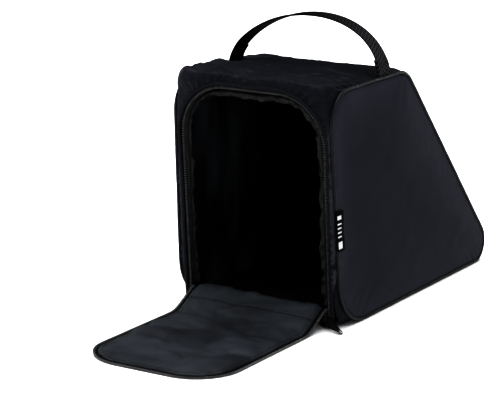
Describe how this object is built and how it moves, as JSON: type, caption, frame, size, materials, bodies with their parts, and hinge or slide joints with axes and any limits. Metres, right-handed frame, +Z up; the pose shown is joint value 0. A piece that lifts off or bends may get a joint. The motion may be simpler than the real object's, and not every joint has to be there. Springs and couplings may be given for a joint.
{
  "type": "shoe bag",
  "caption": "Wedge-shaped fabric bag for walking boots, with a zipped front flap that lets down onto the floor and a webbing handle over the top.",
  "frame": {"origin": "on the floor, at the middle of the bag's base", "axes": "+X to the bag's right, -Y out of its front, where the open flap lies, +Z up"},
  "size_m": [0.2118, 0.5771, 0.3254],
  "materials": {
    "body_fabric": "black plain-weave nylon with a soft sheen",
    "side_fabric": "charcoal plain-weave nylon with a soft sheen",
    "lining": "thin black coated nylon",
    "foam": "thin closed-cell padding, hidden between cloth and lining",
    "board": "stiff plastic sheet under the lining",
    "piping": "glossy black nylon piping",
    "binding": "black ribbed seam tape",
    "webbing": "black herringbone webbing",
    "ribbon": "black grosgrain ribbon",
    "zip_tape": "black woven zip tape",
    "zip_teeth": "black moulded teeth",
    "zip_metal": "black enamelled die-cast metal",
    "label": "black woven tab with plain pale bars"
  },
  "bodies": {
    "bag": {"side_panel_right": "side_fabric", "side_panel_left": "side_fabric", "side_foam_right": "foam", "side_foam_left": "foam", "side_lining_right": "lining", "side_lining_left": "lining", "piping_right": "piping", "piping_left": "piping", "seam_binding_right": "binding", "seam_binding_left": "binding", "side_label": "label", "front_panel": "body_fabric", "top_panel": "body_fabric", "back_panel": "body_fabric", "base_panel": "body_fabric", "top_foam": "foam", "top_lining": "lining", "back_foam": "foam", "back_lining": "lining", "base_board": "board", "base_lining": "lining", "zip_teeth_bag": "zip_teeth", "zip_tape_bag": "zip_tape", "zip_baffle": "lining", "zip_tail_right": "zip_tape", "zip_tail_left": "zip_tape", "zip_stop_right": "zip_metal", "zip_stop_left": "zip_metal", "handle_end_right": "webbing", "handle_end_left": "webbing"},
    "flap_strip": {"hinge_panel": "body_fabric", "hinge_lining": "lining", "hinge_teeth_right": "zip_teeth", "hinge_teeth_left": "zip_teeth", "hinge_tape_right": "zip_tape", "hinge_tape_left": "zip_tape"},
    "flap": {"flap_panel": "body_fabric", "flap_foam": "foam", "flap_lining": "lining", "flap_teeth": "zip_teeth", "flap_tape": "zip_tape"},
    "zip_slider": {"slider": "zip_metal"},
    "zip_pull": {"pull_bail": "zip_metal", "pull_ribbon": "ribbon"},
    "handle": {"handle_strap": "webbing"}
  },
  "joints": [
    {"name": "flap_close", "type": "hinge", "parent": "bag", "child": "flap_strip", "pos_m": [0, -0.1901, 0.02256], "axis": [-1, 0, 0], "range_deg": [0, 113.81]},
    {"name": "flap_unfold", "type": "hinge", "parent": "flap_strip", "child": "flap", "pos_m": [0, -0.2289, 0.0018], "axis": [1, 0, 0], "range_deg": [0, 28.15]},
    {"name": "zip_run", "type": "slide", "parent": "bag", "child": "zip_slider", "axis": [0, -0.0755, 0.9971], "range_m": [0, 0.18]},
    {"name": "pull_swing", "type": "hinge", "parent": "zip_slider", "child": "zip_pull", "pos_m": [0.088, -0.19423, 0.01352], "axis": [-1, 0, 0], "range_deg": [0, 80]},
    {"name": "handle_swing", "type": "hinge", "parent": "bag", "child": "handle", "pos_m": [0, -0.087, 0.2852], "axis": [1, 0, 0], "range_deg": [-75, 75]}
  ],
  "couplings": [
    {"joint": "flap_unfold", "follows": "flap_close", "ratio": 0.24731}
  ]
}
